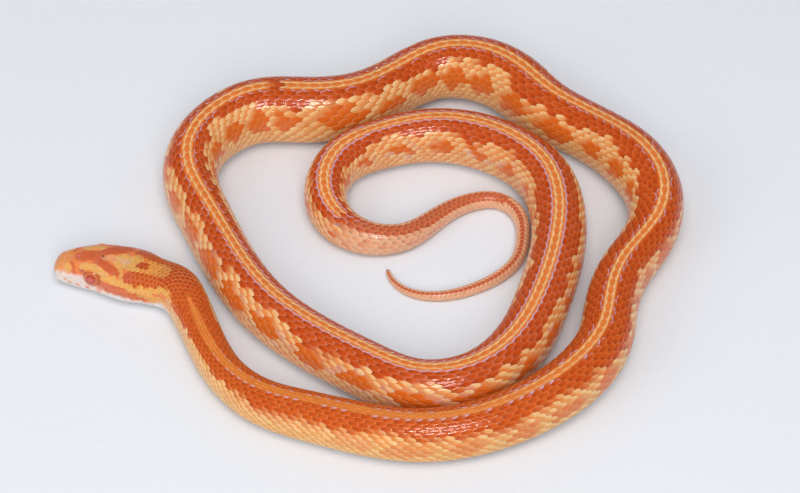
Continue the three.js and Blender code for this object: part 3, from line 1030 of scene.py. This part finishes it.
@dataclass
class Orbit:
    """Where one eye sits, and how the skin opens round it. Lengths are in millimetres."""

    side: Side
    spine: Spine
    radius: float = 2.1
    station: float = 9.0
    offset: float = 3.05
    height: float = 4.3
    opening: float = 1.8
    lid: float = 0.1
    rim: float = 0.1
    brow: float = 0.3
    upward: float = 0.3
    forward: float = 0.06
    centre: np.ndarray = field(init=False)
    axis: np.ndarray = field(init=False)

    def __post_init__(self) -> None:
        """Place the eye's centre and the direction it looks in."""
        place, left = self.spine.at(np.array(self.station))
        sign = self.side.value
        self.centre = np.array([*(place + sign * self.offset * left), self.height])
        ahead = np.array([left[1], -left[0]])
        look = np.array([*(sign * left + self.forward * ahead), self.upward])
        self.axis = look / np.linalg.norm(look)

    def open_skin(self, places: np.ndarray) -> np.ndarray:
        """Press the skin in under the eye and raise a rim round its opening.

        Args:
            places: Corners of the skin near the head.

        Returns:
            The moved corners.
        """
        away = places - self.centre
        reach = np.linalg.norm(away, axis=1)
        toward = away / reach[:, None]
        tilt = np.arccos(np.clip(toward @ self.axis, -1, 1))
        above = np.clip((toward[:, 2] - self.axis[2] * np.cos(tilt)) / np.sin(tilt + 1e-6), 0, 1)
        edge = math.asin(self.opening / self.radius) - self.brow * above**2
        sunk = np.minimum(reach, self.radius - 0.3)
        swell = self.rim * np.exp(-(((tilt - edge - 0.13) / 0.12) ** 2))
        fade = smooth(2.3, 1.5, tilt)
        cover = np.maximum(reach, (self.radius + self.lid) * fade) + swell
        share = smooth(edge - 0.02, edge + 0.06, tilt)
        wanted = sunk + share * (cover - sunk)
        return self.centre + toward * wanted[:, None]


@dataclass
class HeadRelief:
    """Grooves between the head shields, the mouth slit and the nostrils."""

    groove_width: float = 0.1
    groove_depth: float = 0.085
    shield_rise: float = 0.03
    mouth_width: float = 0.12
    mouth_depth: float = 0.2
    mouth_end: float = 17.6
    nostril: tuple = (1.75, 3.7)
    nostril_width: float = 0.22
    nostril_depth: float = 0.4

    def crown_lines(self) -> tuple:
        """Seams of the crown, as (station, distance from the midline) chains."""
        return (
            ((1.25, 0.0), (1.05, 0.9), (0.6, 1.7)),
            ((2.7, 0.0), (2.6, 1.1), (2.3, 2.1)),
            ((5.6, 0.0), (5.5, 1.2), (5.8, 2.0), (6.4, 2.9), (6.2, 3.6)),
            ((1.25, 0.0), (5.6, 0.0)),
            ((5.8, 2.0), (7.6, 1.75), (9.3, 1.45), (10.4, 0.0)),
            ((9.3, 1.45), (9.9, 2.4), (10.7, 3.2), (11.0, 4.0)),
            ((10.4, 0.0), (15.2, 0.0)),
            ((11.0, 4.0), (12.6, 3.9), (14.4, 3.0), (15.8, 1.4), (15.2, 0.0)),
            ((6.2, 3.6), (7.4, 3.9), (9.2, 4.1), (11.0, 4.0)),
        )

    def cheek_lines(self) -> tuple:
        """Seams of the cheeks, as (station, height) chains."""
        lines = [
            ((0.9, 2.9), (2.5, 3.1), (5.0, 3.05), (7.2, 2.7)),
            ((10.9, 2.8), (13, 3.2), (15.5, 3.15), (17.5, 2.7)),
            ((3.1, 3.1), (3.2, 5.4)),
            ((5.2, 3.05), (5.3, 5.4)),
            ((1.6, 4.7), (3.1, 5.2), (5.3, 5.6), (6.6, 5.7)),
            ((11.3, 2.9), (11.5, 4.4), (11.2, 5.8)),
            ((11.5, 4.4), (13.4, 4.6), (13.5, 3.2)),
        ]
        lines += [((at, 1.9), (at - 0.2, 3.05)) for at in (1.7, 3.2, 4.8, 6.4, 8.1, 9.9)]
        lines += [((at, 1.9), (at - 0.2, 3.15)) for at in (11.9, 14.1, 16.2)]
        lines += [((at, 0.4), (at - 0.1, 1.6)) for at in (1.6, 3.0, 4.5, 6.1, 7.9, 9.9, 12.0, 14.2)]
        return tuple(lines)

    def depth(
        self, station: np.ndarray, offset: np.ndarray, height: np.ndarray, upward: np.ndarray
    ) -> tuple[np.ndarray, np.ndarray]:
        """Rise of the skin along its normal, and how much of each place is in a seam.

        Args:
            station: Distance back from the snout tip.
            offset: Distance round the head from its midline.
            height: Height above the ground.
            upward: Upward part of the surface normal.

        Returns:
            Rise in millimetres, and seam weight from 0 to 1.
        """
        crown = smooth(0.25, 0.5, upward) * smooth(16.8, 15.6, station)
        cheek = smooth(0.78, 0.55, upward) * smooth(17.9, 17.0, station)
        near = np.full(np.shape(station), 9.0)
        for line in self.crown_lines():
            gap = distance_to_line(station, np.abs(offset - head_roll(station)), line)
            near = np.minimum(near, gap + 9 * (1 - crown))
        for line in self.cheek_lines():
            gap = distance_to_line(station, height, line)
            near = np.minimum(near, gap + 9 * (1 - cheek))
        seam = np.exp(-((near / self.groove_width) ** 2))
        rise = self.shield_rise * smooth(0, 0.8, near) - self.groove_depth * seam
        mouth_gap = np.abs(height - NaturalSpline(MOUTH_LINE)(station))
        open_ = smooth(self.mouth_end + 0.4, self.mouth_end - 0.6, station) * (upward < 0.6)
        slit = np.exp(-((mouth_gap / self.mouth_width) ** 2)) * open_
        from_nostril = np.hypot(station - self.nostril[0], height - self.nostril[1])
        pit = np.exp(-((from_nostril / self.nostril_width) ** 2)) * (upward < 0.8)
        lip = 0.06 * smooth(0.9, 0.2, mouth_gap) * (height > 1.9) * open_
        rise = rise + lip - self.mouth_depth * slit - self.nostril_depth * pit
        return rise, np.maximum(np.maximum(0.55 * seam, slit), pit)


@dataclass
class Skin:
    """One closed skin from the snout to the tail tip, under the scales by their depth."""

    form: Form
    unwrap: Unwrap
    orbits: tuple
    head_end: float = 21.0
    head_step: float = 0.115
    head_round: int = 256
    collar: float = 0.5
    body_step: float = 0.9
    body_round: int = 64
    floor_gap: float = 0.03
    relief: HeadRelief = field(default_factory=HeadRelief)

    def rings(self, stations: np.ndarray, count: int) -> tuple[np.ndarray, np.ndarray]:
        """Stations and turns of a grid of rings."""
        turns = 2 * (np.arange(count) + 0.5) / count
        station, turn = np.meshgrid(stations, turns, indexing="ij")
        return station.ravel(), turn.ravel()

    def build(self, finish: bpy.types.Material) -> bpy.types.Object:
        """Make the skin.

        Args:
            finish: Material of the skin.

        Returns:
            The object that stands for every node of flesh.
        """
        markings = Markings()
        head_stations = np.arange(0.012, self.head_end, self.head_step)
        body_stations = np.arange(
            head_stations[-1] + self.collar, self.form.spine.length - 0.4, self.body_step
        )
        head_s, head_t = self.rings(head_stations, self.head_round)
        body_s, body_t = self.rings(body_stations, self.body_round)
        station = np.concatenate([head_s, body_s])
        turn = np.concatenate([head_t, body_t])
        place, normal = self.form.surface(station, turn)
        offset = ridge_offset(turn, station, self.form)
        rise, seam = self.relief.depth(station, offset, place[:, 2], normal[:, 2])
        on_head = station < self.head_end
        place = place + normal * (np.where(on_head, rise, 0) - coat_depth(station))[:, None]
        place[:, 2] = np.maximum(place[:, 2], self.floor_gap)
        for orbit in self.orbits:
            near = np.linalg.norm(place - orbit.centre, axis=1) < 4
            place[near] = orbit.open_skin(place[near])
        row = (offset / np.maximum(self.form.girth_at(station), 1e-6)) / (1 - BELLY_SHARE)
        row = row * ROWS_TO_BELLY - roll_at(station)
        nothing = np.zeros_like(station)
        body = markings.body(station, row, nothing, nothing, nothing + 0.5)
        head = markings.head(station, offset, place[:, 2])
        weights = markings.join(head, body, smooth(26, 33, station))
        bare = smooth(20, 26, station) * (1 - weights["pale"])
        edge = np.exp(-(((np.abs(row) - 1.55) / 0.3) ** 2)) * smooth(55, 140, station)
        weights["lavender"] = np.maximum(weights["lavender"], bare * (0.5 + 0.45 * edge))
        weights["lavender"] = np.maximum(weights["lavender"], 0.45 * seam * on_head)
        faces, closing = self.faces(len(head_stations), len(body_stations), len(station))
        ends = np.stack([
            place[: self.head_round].mean(0), place[-self.body_round :].mean(0)
        ])
        place = np.concatenate([place, ends])
        station = np.concatenate([station, [0.0, self.form.spine.length - 0.2]])
        turn = np.concatenate([turn, [0.5, 0.5]])
        for name in markings.names:
            weights[name] = np.concatenate([weights[name], weights[name][[0, -1]]])
        corners = np.concatenate([faces.ravel(), np.concatenate(closing)]).astype(int)
        sizes = np.concatenate([np.full(len(faces), 4), [len(face) for face in closing]])
        first = np.repeat(np.concatenate([faces[:, 0], [face[0] for face in closing]]), sizes)
        face_strip = self.unwrap.strip_of(station[first.astype(int)])
        bake = self.unwrap.place(station[corners], turn[corners], face_strip)
        lie = np.stack([turn * 10, station / 3], -1)
        piece = MeshPiece("skin", place, faces, lie, bake, weights, closing)
        made = piece.build(finish, "head_scales")
        lengths = [f"trunk_{i}" for i in range(1, 9)] + [f"tail_{i}" for i in range(1, 4)]
        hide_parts("head", "lower_jaw", "neck", *lengths)
        return made

    def faces(self, head_rows: int, body_rows: int, centre: int) -> tuple[np.ndarray, list]:
        """Faces of both grids, the collar between them and the two closed ends.

        Args:
            head_rows: Number of rings on the head.
            body_rows: Number of rings on the body.
            centre: Number of the snout's middle corner; the tail's is the next.

        Returns:
            The four-cornered faces, and the others as lists.
        """
        body_first = head_rows * self.head_round
        quads = np.concatenate([
            ring_faces(0, head_rows, self.head_round),
            ring_faces(body_first, body_rows, self.body_round),
        ])
        closing = []
        ratio = self.head_round // self.body_round
        last_head = (head_rows - 1) * self.head_round
        for j in range(self.body_round):
            start = j * ratio + ratio // 2
            upper = [last_head + (start + k) % self.head_round for k in range(ratio + 1)]
            lower = [body_first + j, body_first + (j + 1) % self.body_round]
            closing.append([*lower, *reversed(upper)])
        last_body = body_first + (body_rows - 1) * self.body_round
        closing += end_faces(centre, 0, self.head_round, False)
        closing += end_faces(centre + 1, last_body, self.body_round, True)
        return quads, closing


@dataclass(frozen=True)
class PlateShape:
    """Shape of one plate: a domed leaf with a rounded tip and a turned-down edge.

    Lengths in millimetres are those of a scale in the middle of the body.
    """

    columns: int = 7
    rows: int = 7
    root_width: float = 0.5
    tip_power: float = 1.8
    tip_round: float = 0.72
    tip_blunt: float = 0.1
    dome: float = 0.15
    lift: float = 0.21
    skirt: float = 0.14
    sunk_root: float = 0.05
    middle: float = 0.42

    def grid(self) -> tuple[np.ndarray, np.ndarray]:
        """Places across, from -1 to 1, and along, from 0 to 1, of the plate's corners."""
        across = np.sin(np.linspace(-0.5, 0.5, self.columns) * math.pi)
        along = 1 - (1 - np.linspace(0, 1, self.rows)) ** 1.35
        v, u = np.meshgrid(along, across, indexing="ij")
        return u.ravel(), v.ravel()

    def outline(self, along: np.ndarray) -> np.ndarray:
        """Share of the full half-width at each place along the plate."""
        root = self.root_width + (1 - self.root_width) * np.sin(np.clip(along / 0.5, 0, 1) * 1.571)
        tip = np.clip((along - 0.5) / 0.5, 0, 1)
        return root * np.maximum((1 - tip**self.tip_power) ** self.tip_round, self.tip_blunt)

    def rise(self, across: np.ndarray, along: np.ndarray) -> np.ndarray:
        """Height over the plate's root, as it lifts to its tip and domes to its middle."""
        dome = self.dome * (1 - across**2) * np.sin(np.clip(along + 0.2, 0, 1) * math.pi) ** 0.8
        return self.lift * along**1.2 + dome

    def border(self) -> np.ndarray:
        """Corner numbers round the free edge, from the left root round the tip to the right."""
        left = [i * self.columns for i in range(1, self.rows)]
        tip = [(self.rows - 1) * self.columns + j for j in range(1, self.columns - 1)]
        right = [i * self.columns + self.columns - 1 for i in range(self.rows - 1, 0, -1)]
        return np.array(left + tip + right)

    def faces(self) -> np.ndarray:
        """Faces of the leaf and of its turned-down edge."""
        quads = []
        for i in range(self.rows - 1):
            for j in range(self.columns - 1):
                a = i * self.columns + j
                quads.append([a, a + self.columns, a + self.columns + 1, a + 1])
        border = self.border()
        low = self.columns * self.rows + np.arange(len(border))
        for k in range(len(border) - 1):
            quads.append([border[k], low[k], low[k + 1], border[k + 1]])
        return np.array(quads)


@dataclass
class Coat:
    """Plates laid over the skin, joined into one mesh for each stretch of the body."""

    form: Form
    unwrap: Unwrap
    shape: PlateShape
    patch: float = 0.003
    blend: float = 0.4
    bend_stretch: float = 0.55
    uneven: float = 0.035
    floor_gap: float = 0.02

    def lay(
        self, name: str, station: np.ndarray, turn: np.ndarray, length: np.ndarray,
        half_share: np.ndarray, row: np.ndarray, material: bpy.types.Material, slot: str,
    ) -> bpy.types.Object:
        """Lay one plate at each place.

        Args:
            name: Name of the piece.
            station: Station of each plate's middle.
            turn: Turn of each plate's middle.
            length: Length of each plate in millimetres.
            half_share: Half-width of each plate, as a share of the way round.
            row: Row number of each plate, from the ridge of the back.
            material: Finish of the plates.
            slot: The record's material slot.

        Returns:
            The joined piece.
        """
        u, v = self.shape.grid()
        border = self.shape.border()
        all_u = np.concatenate([u, u[border]])
        all_v = np.concatenate([v, v[border]])
        is_skirt = np.concatenate([np.zeros(len(u), bool), np.ones(len(border), bool)])
        thick = np.clip(pitch_at(station) / 2.2, 0.4, 1)[:, None]
        width = self.shape.outline(all_v)
        side = np.interp(station, self.form.stations, self.form.across.max(axis=1))
        turn = turn + roll_share(station)
        sideways = side * np.sin(signed_turn(turn) * math.pi)
        stretch = 1 + self.bend_stretch * self.form.spine.curvature(station) * sideways
        plate_turn = turn[:, None] + half_share[:, None] * width[None, :] * all_u[None, :]
        along = (all_v - self.shape.middle)[None, :] * (length / np.clip(stretch, 0.9, 1.5))[:, None]
        plate_station = np.clip(station[:, None] + along, 0.3, self.form.spine.length - 0.2)
        place, normal = self.form.surface(plate_station, plate_turn)
        rise = self.shape.rise(all_u, all_v)[None, :] * thick
        rise = rise - (coat_depth(plate_station) + self.shape.sunk_root * thick)
        rise = rise - np.where(is_skirt, self.shape.skirt, 0)[None, :] * thick
        jitter = (hashed(station, row) - 0.5)[:, None] * self.uneven * thick
        place = place + normal * (rise + jitter * all_v[None, :])[..., None]
        place[..., 2] = np.maximum(place[..., 2], self.floor_gap)
        count = len(station)
        size = len(all_u)
        faces = self.shape.faces()[None] + (np.arange(count) * size)[:, None, None]
        strip = self.unwrap.strip_of(station)
        root = self.unwrap.place(station, np.mod(turn, 2), strip)
        bake = root[:, None, :] + self.patch * np.stack([all_v - 0.5, all_u * 0.5], -1)[None]
        lie = np.broadcast_to(np.stack([all_u * 0.5, all_v], -1), (count, size, 2))
        near = station[:, None] + self.blend * (plate_station - station[:, None])
        near_turn = turn[:, None] + self.blend * (plate_turn - turn[:, None])
        offset = ridge_offset(near_turn, near, self.form)
        weights = self.colours(station, row, all_u, all_v, place, near, offset)
        piece = MeshPiece(
            name,
            place.reshape(-1, 3),
            faces.reshape(-1, 4),
            lie.reshape(-1, 2),
            bake.reshape(-1, 2),
            {key: value.ravel() for key, value in weights.items()},
        )
        return piece.build(material, slot)

    def colours(
        self, station: np.ndarray, row: np.ndarray, across: np.ndarray, along: np.ndarray,
        place: np.ndarray, near: np.ndarray, offset: np.ndarray,
    ) -> dict[str, np.ndarray]:
        """Weights of each colour on every corner of every plate.

        Args:
            station: Station of each plate.
            row: Row of each plate.
            across: Place of each corner across its plate.
            along: Place of each corner along its plate.
            place: Corners of every plate.
            near: Station of each corner, drawn a little towards its plate's middle.
            offset: Distance of each corner round the body from the ridge.

        Returns:
            Weights by colour name.
        """
        markings = Markings()
        corners = place.shape[:2]
        middle = np.broadcast_to(station[:, None], corners)
        rows = np.broadcast_to(row[:, None], corners)
        wobble = np.broadcast_to(hashed(station, row, row * 0 + 3)[:, None], corners)
        across = np.broadcast_to(across[None], corners)
        along = np.broadcast_to(along[None], corners)
        body = markings.body(middle, rows, across, along, wobble)
        head = markings.head(near + 0.25 * (wobble - 0.5), offset, place[..., 2])
        rim = plate_rim(across, along, 0.6, 0.95)
        shown = (1 - head["pale"]) * smooth(11, 24, middle)
        head["cream_and_crown_highlight"] = np.maximum(head["cream_and_crown_highlight"], 0.34 * rim * shown)
        # painted shade at the root of each nape scale, where it tucks under the scale ahead
        head["deep"] = np.maximum(head["deep"], 0.3 * smooth(0.6, 0.3, along) * shown)
        return markings.join(head, body, smooth(26, 33, middle + 3 * (wobble - 0.5)))


@dataclass(frozen=True)
class Stretch:
    """A run of the body with one number of scale rows."""

    name: str
    start: float
    end: float
    rows: int
    slot: str


@dataclass
class BackScales:
    """Small overlapping scales of the nape, back, flanks and tail, row by row."""

    form: Form
    unwrap: Unwrap
    stretches: tuple = (
        Stretch("scales_nape", 12.0, 34.0, 25, "body_scales"),
        Stretch("scales_fore_body", 34.0, 150.0, 27, "body_scales"),
        Stretch("scales_middle_body", 150.0, 300.0, 27, "body_scales"),
        Stretch("scales_hind_body", 300.0, 420.0, 27, "body_scales"),
        Stretch("scales_rear_body", 420.0, 503.0, 27, "body_scales"),
        Stretch("scales_vent", 503.0, 531.0, 21, "body_scales"),
        Stretch("scales_tail_root", 531.0, 547.0, 15, "tail_scales"),
        Stretch("scales_tail_middle", 547.0, 568.0, 11, "tail_scales"),
        Stretch("scales_tail_end", 568.0, 618.5, 7, "tail_scales"),
    )
    first_scale: tuple = (
        (0, 16.4), (2, 15.9), (3.6, 13.9), (5.5, 12.8), (7.2, 13.9), (8.2, 18), (12, 18.6),
    )
    overlap: float = 1.42
    width_overlap: float = 0.76
    uneven_length: float = 0.08
    shape: PlateShape = field(default_factory=PlateShape)

    def build(self, material: bpy.types.Material) -> list[bpy.types.Object]:
        """Lay every stretch.

        Args:
            material: Finish of the scales.

        Returns:
            The joined pieces.
        """
        beats = spaced_stations(self.stretches[0].start, self.form.spine.length)
        coat = Coat(self.form, self.unwrap, self.shape)
        made = []
        for stretch in self.stretches:
            half = stretch.rows // 2
            stations = []
            rows = []
            for row in range(-half, half + 1):
                here = beats + (row % 2) * 0.5 * pitch_at(beats)
                here = here[(here >= stretch.start) & (here < stretch.end)]
                stations.append(here)
                rows.append(np.full(len(here), row))
            station = np.concatenate(stations)
            row = np.concatenate(rows).astype(float)
            share = (1 - BELLY_SHARE) / (stretch.rows / 2)
            signed = row * share
            # the first scales lie behind the head shields, by distance from the midline
            offset = np.abs(signed * self.form.girth_at(station))
            keep = station > read_table(offset, self.first_scale)
            station, row, signed = station[keep], row[keep], signed[keep]
            jitter = 1 + self.uneven_length * (hashed(row, station) - 0.5)
            length = pitch_at(station) * self.overlap * jitter
            half_share = np.full(len(station), share * self.width_overlap)
            full_row = signed / (1 - BELLY_SHARE) * ROWS_TO_BELLY
            made.append(coat.lay(
                stretch.name, station, np.mod(signed, 2.0), length, half_share, full_row,
                material, stretch.slot,
            ))
        return made


@dataclass
class BellyPlates:
    """Broad plates across the belly and under the tail, one to each row of back scales."""

    form: Form
    unwrap: Unwrap
    start: float = 17.0
    end_gap: float = 2.5
    overlap: float = 1.3
    extra_width: float = 0.02
    row: float = 13.4
    shape: PlateShape = field(
        default_factory=lambda: PlateShape(
            columns=17, rows=5, root_width=0.97, tip_power=6.0, tip_blunt=0.93, dome=0.02,
            lift=0.1, skirt=0.1,
        )
    )

    def build(self, material: bpy.types.Material) -> bpy.types.Object:
        """Lay the plates.

        Args:
            material: Finish of the plates.

        Returns:
            The joined piece.
        """
        station = spaced_stations(self.start, self.form.spine.length - self.end_gap)
        count = len(station)
        return Coat(self.form, self.unwrap, self.shape).lay(
            "belly_plates", station, np.ones(count), pitch_at(station) * self.overlap,
            np.full(count, BELLY_SHARE + self.extra_width), np.full(count, self.row), material,
            "pale_scales",
        )


@dataclass
class Eye:
    """A clear-covered eyeball that fills its orbit."""

    orbit: Orbit
    rows: int = 40
    columns: int = 64

    def build(self, material: bpy.types.Material) -> bpy.types.Object:
        """Make the eye.

        Args:
            material: Finish of the eye.

        Returns:
            The object that stands for the eye's node.
        """
        axis = Vector(self.orbit.axis)
        turned = np.array(axis.to_track_quat("Z", "Y").to_matrix())
        polar = np.linspace(0, math.pi, self.rows + 1)[1:-1]
        around = 2 * math.pi * np.arange(self.columns) / self.columns
        tilt, spin = np.meshgrid(polar, around, indexing="ij")
        ball = [np.sin(tilt) * np.cos(spin), np.sin(tilt) * np.sin(spin), np.cos(tilt)]
        ball = np.stack(ball, -1).reshape(-1, 3)
        ball = np.concatenate([ball, [[0, 0, 1], [0, 0, -1]]])
        tilt = np.concatenate([tilt.ravel(), [0, math.pi]])
        spin = np.concatenate([spin.ravel(), [0, 0]])
        places = self.orbit.centre + self.orbit.radius * ball @ turned.T
        quads = ring_faces(0, len(polar), self.columns)
        poles = len(places) - 2
        last = (len(polar) - 1) * self.columns
        closing = end_faces(poles, 0, self.columns, False)
        closing += end_faces(poles + 1, last, self.columns, True)
        lie = np.stack([spin / (2 * math.pi), tilt / math.pi], -1)
        reach = np.sin(tilt / 2) * 0.47
        bake = 0.5 + np.stack([reach * np.cos(spin), reach * np.sin(spin)], -1)
        word = self.orbit.side.name.lower()
        piece = MeshPiece(f"{word}_eyeball", places, quads, lie, bake, None, closing)
        made = piece.build(material, "eye")
        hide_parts(f"eye_{word}")
        return made


@dataclass
class Stage:
    """Pale floor, soft studio light and the camera at the viewing angle of a low overhead shot."""

    pitch_down: float = 43.0
    lens: float = 117.0
    sensor: float = 36.0
    distance: float = 520.0
    floor_size: float = 6.0
    sky: float = 0.5
    sky_in_gloss: float = 0.1
    sky_colour: str = "EEF1F6"
    aim: tuple = POSE_SHIFT
    softboxes: tuple = (
        ("overhead_softbox", (0.02, -0.3, 0.9), 0.6, 3.7),
        ("left_softbox", (-0.7, -0.45, 0.5), 0.5, 1.7),
        ("front_softbox", (0.1, -0.85, 0.55), 0.4, 3.5),
    )
    glint_lamp: tuple = ("glint_lamp", (0.074, -0.338, 0.635), 0.045, 2.0)

    def build(self) -> None:
        """Make the floor, lights and camera."""
        self.floor()
        self.lights()
        self.camera()
        log.info("stage: floor, lights and camera")

    def floor(self) -> None:
        """Lay the plain pale floor at the belly's level."""
        half = self.floor_size / 2
        mesh = bpy.data.meshes.new("floor")
        corners = [(-half, -half, 0), (half, -half, 0), (half, half, 0), (-half, half, 0)]
        mesh.from_pydata(corners, [], [(0, 1, 2, 3)])
        mesh.materials.append(FloorFinish().build())
        ground = bpy.data.objects.new("floor", mesh)
        bpy.context.scene.collection.objects.link(ground)
        ground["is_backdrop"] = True

    def area_light(
        self, name: str, place: tuple, size: float, power: float, mirrored: bool = False
    ) -> None:
        """Hang a square lamp that faces the animal.

        Args:
            name: Name of the lamp.
            place: Where it hangs, in metres.
            size: Length of its side in metres.
            power: Power in watts.
            mirrored: Whether the lamp only glints in glossy surfaces; the others only light them.
        """
        lamp = bpy.data.lights.new(name, "AREA")
        lamp.shape = "SQUARE"
        lamp.size = size
        lamp.energy = power
        holder = bpy.data.objects.new(name, lamp)
        holder.location = place
        holder.visible_glossy = mirrored
        holder.visible_diffuse = not mirrored
        aim = Vector((self.aim[0] * MM, self.aim[1] * MM, 0))
        holder.rotation_euler = (aim - Vector(place)).to_track_quat("-Z", "Y").to_euler()
        bpy.context.scene.collection.objects.link(holder)

    def lights(self) -> None:
        """Light softly from above, with a small bright lamp that only glints in eyes and scales."""
        for name, place, size, power in self.softboxes:
            self.area_light(name, place, size, power)
        self.area_light(*self.glint_lamp, mirrored=True)
        world = bpy.data.worlds.new("studio")
        world.use_nodes = True
        tree = world.node_tree
        tree.nodes.clear()
        ray = add_node(tree, "ShaderNodeLightPath")
        strength = add_node(tree, "ShaderNodeMapRange", None, {
            "Value": ray.outputs["Is Glossy Ray"], 3: self.sky, 4: self.sky_in_gloss,
        })
        glow = add_node(tree, "ShaderNodeBackground", None, {
            "Color": linear(self.sky_colour), "Strength": strength.outputs[0],
        })
        add_node(tree, "ShaderNodeOutputWorld", None, {"Surface": glow.outputs[0]})
        bpy.context.scene.world = world
        bpy.context.scene.view_settings.view_transform = "Standard"

    def camera(self) -> None:
        """Place the camera above the near side, looking down at the middle of the pose."""
        tilt = math.radians(self.pitch_down)
        lens = bpy.data.cameras.new("camera")
        lens.lens = self.lens
        lens.sensor_width = self.sensor
        lens.sensor_fit = "HORIZONTAL"
        lens.clip_start = 0.01
        lens.clip_end = 20
        holder = bpy.data.objects.new("camera", lens)
        away = self.distance * MM
        aim_x, aim_y = (value * MM for value in self.aim)
        holder.location = (aim_x, aim_y - away * math.cos(tilt), away * math.sin(tilt))
        holder.rotation_euler = (math.pi / 2 - tilt, 0, 0)
        bpy.context.scene.collection.objects.link(holder)
        bpy.context.scene.camera = holder


@dataclass
class CornSnake:
    """The whole animal: skin, back scales, belly plates and eyes."""

    def build(self) -> None:
        """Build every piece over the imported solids."""
        spine = Spine()
        form = Form(spine)
        unwrap = Unwrap(form)
        orbits = tuple(Orbit(side, spine) for side in Side)
        hide = ScaleFinish("satin_head_shields", roughness=0.18, bump=0.1).build()
        keratin = ScaleFinish("keratin_back_scales").build()
        smooth_plate = ScaleFinish("smooth_belly_keratin", roughness=0.42, bump=0.1).build()
        wet = EyeFinish().build()
        Skin(form, unwrap, orbits).build(hide)
        BackScales(form, unwrap).build(keratin)
        BellyPlates(form, unwrap).build(smooth_plate)
        for orbit in orbits:
            Eye(orbit).build(wet)


def corners_as_lists(bounds: tuple) -> list[list[float]]:
    """Both corners of a box as plain lists of numbers."""
    return [[float(value) for value in corner] for corner in bounds]


def main() -> dict[str, list]:
    """Load the frame and build the animal and its stage.
    """
    logging.basicConfig(level=logging.INFO, format="%(name)s %(message)s")
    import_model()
    solid_box = corners_as_lists(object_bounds())
    Stage().build()
    CornSnake().build()
    return {"cad": solid_box}


if __name__ == "__main__":
    boxes = main()
    bpy.context.view_layer.update()
    boxes["visual"] = corners_as_lists(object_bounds())
